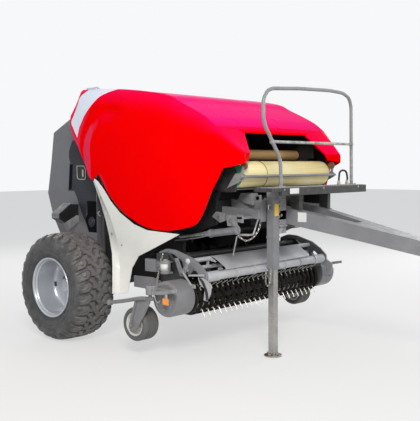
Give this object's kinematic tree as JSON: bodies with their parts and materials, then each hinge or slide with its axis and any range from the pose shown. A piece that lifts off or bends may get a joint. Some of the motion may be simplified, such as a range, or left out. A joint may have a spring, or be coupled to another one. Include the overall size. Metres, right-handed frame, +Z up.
{
  "type": "round baler",
  "caption": "Towed round baler: tined pickup with gauge wheels, bale chamber with lifting tailgate, side hoods that swing up, drawbar on a jack, two wide road wheels.",
  "frame": {"origin": "on the ground below the middle of the whole machine", "axes": "+X forward along the drawbar, +Y to the machine's left, +Z up"},
  "size_m": [4.239, 2.68, 2.385],
  "materials": {
    "hood_red": "gloss red moulded hood and roof",
    "gate_grey": "semi-gloss dark grey paint",
    "frame_dark": "near-black paint",
    "frame_grey": "mid grey paint",
    "shield": "off-white moulded shield",
    "rim_silver": "silver paint",
    "rim_white": "off-white paint",
    "tyre": "matt rubber, dusty",
    "tyre_grey": "matt grey rubber",
    "steel": "bare worn steel",
    "band_grey": "worn black paint",
    "net": "rolled net, cream yellow",
    "roller_brown": "brown rubber covered roller",
    "lamp_black": "matt black"
  },
  "bodies": {
    "chassis": {"main_frame": "frame_dark", "axle": "frame_dark", "chamber_wall": "frame_dark", "roof": "hood_red", "net_tray": "frame_grey", "drawbar": "frame_grey", "tow_eye": "steel", "jack_outer": "frame_grey", "handrail": "frame_grey", "platform": "frame_dark", "gearbox": "frame_dark", "shield_r": "shield", "shield_l": "shield"},
    "net_roll": {"net_roll": "net"},
    "net_roller": {"net_roller": "roller_brown"},
    "jack_leg": {"jack_leg": "steel"},
    "wheel_r": {"rim_r": "rim_silver", "tyre_r": "tyre"},
    "wheel_l": {"rim_l": "rim_silver", "tyre_l": "tyre"},
    "tailgate": {"tailgate_shell": "gate_grey", "tailgate_cover_r": "gate_grey", "tailgate_cover_l": "gate_grey", "lamp_r": "lamp_black", "lamp_l": "lamp_black"},
    "side_hood_r": {"side_hood_r": "hood_red"},
    "side_hood_l": {"side_hood_l": "hood_red"},
    "pickup": {"pickup_frame": "frame_dark", "pickup_bands": "band_grey", "side_drum_r": "frame_grey", "side_drum_l": "frame_grey"},
    "tine_reel": {"tine_reel": "steel"},
    "wind_guard": {"wind_guard": "frame_dark"},
    "press_roller": {"press_roller": "frame_grey"},
    "castor_r": {"castor_r": "frame_grey"},
    "castor_l": {"castor_l": "frame_grey"},
    "gauge_wheel_r": {"gauge_rim_r": "rim_white", "gauge_tyre_r": "tyre_grey"},
    "gauge_wheel_l": {"gauge_rim_l": "rim_white", "gauge_tyre_l": "tyre_grey"},
    "rotor": {"rotor": "frame_grey"}
  },
  "joints": [
    {"name": "tailgate_lift", "type": "hinge", "parent": "chassis", "child": "tailgate", "pos_m": [-1.2505, 0, 2.22], "axis": [0, 1, 0], "range_deg": [0, 60]},
    {"name": "pickup_lift", "type": "hinge", "parent": "chassis", "child": "pickup", "pos_m": [-0.4805, 0, 0.75], "axis": [0, 1, 0], "range_deg": [0, 25]},
    {"name": "jack_slide", "type": "slide", "parent": "chassis", "child": "jack_leg", "axis": [0, 0, 1], "range_m": [0, 0.55]},
    {"name": "side_hood_r_open", "type": "hinge", "parent": "chassis", "child": "side_hood_r", "pos_m": [-1.2305, -0.797, 2.378], "axis": [-1, 0, 0], "range_deg": [0, 70]},
    {"name": "side_hood_l_open", "type": "hinge", "parent": "chassis", "child": "side_hood_l", "pos_m": [-1.2305, 0.797, 2.378], "axis": [1, 0, 0], "range_deg": [0, 70]},
    {"name": "wind_guard_lift", "type": "hinge", "parent": "pickup", "child": "wind_guard", "pos_m": [-0.1805, 0, 0.83], "axis": [0, -1, 0], "range_deg": [0, 25]},
    {"name": "castor_r_turn", "type": "hinge", "parent": "pickup", "child": "castor_r", "pos_m": [0.0045, -1.195, 0.55], "axis": [0, 0, 1], "range_deg": [-25, 25]},
    {"name": "castor_l_turn", "type": "hinge", "parent": "pickup", "child": "castor_l", "pos_m": [0.0045, 1.195, 0.55], "axis": [0, 0, 1], "range_deg": [-25, 25]},
    {"name": "wheel_r_spin", "type": "hinge", "parent": "chassis", "child": "wheel_r", "pos_m": [-1.2305, -1.12, 0.5], "axis": [0, 1, 0], "continuous": true},
    {"name": "wheel_l_spin", "type": "hinge", "parent": "chassis", "child": "wheel_l", "pos_m": [-1.2305, 1.12, 0.5], "axis": [0, 1, 0], "continuous": true},
    {"name": "gauge_wheel_r_spin", "type": "hinge", "parent": "castor_r", "child": "gauge_wheel_r", "pos_m": [-0.1905, -1.125, 0.28], "axis": [0, 1, 0], "continuous": true},
    {"name": "gauge_wheel_l_spin", "type": "hinge", "parent": "castor_l", "child": "gauge_wheel_l", "pos_m": [-0.1905, 1.125, 0.28], "axis": [0, 1, 0], "continuous": true},
    {"name": "reel_spin", "type": "hinge", "parent": "pickup", "child": "tine_reel", "pos_m": [0.1295, 0, 0.49], "axis": [0, 1, 0], "continuous": true},
    {"name": "press_roller_spin", "type": "hinge", "parent": "wind_guard", "child": "press_roller", "pos_m": [0.3145, 0, 0.69], "axis": [0, 1, 0], "continuous": true},
    {"name": "rotor_spin", "type": "hinge", "parent": "chassis", "child": "rotor", "pos_m": [-0.3505, 0, 0.72], "axis": [0, 1, 0], "continuous": true},
    {"name": "net_roll_spin", "type": "hinge", "parent": "chassis", "child": "net_roll", "pos_m": [0.4365, 0, 1.545], "axis": [0, 1, 0], "continuous": true},
    {"name": "net_roller_spin", "type": "hinge", "parent": "chassis", "child": "net_roller", "pos_m": [0.1695, 0, 1.718], "axis": [0, 1, 0], "continuous": true}
  ]
}
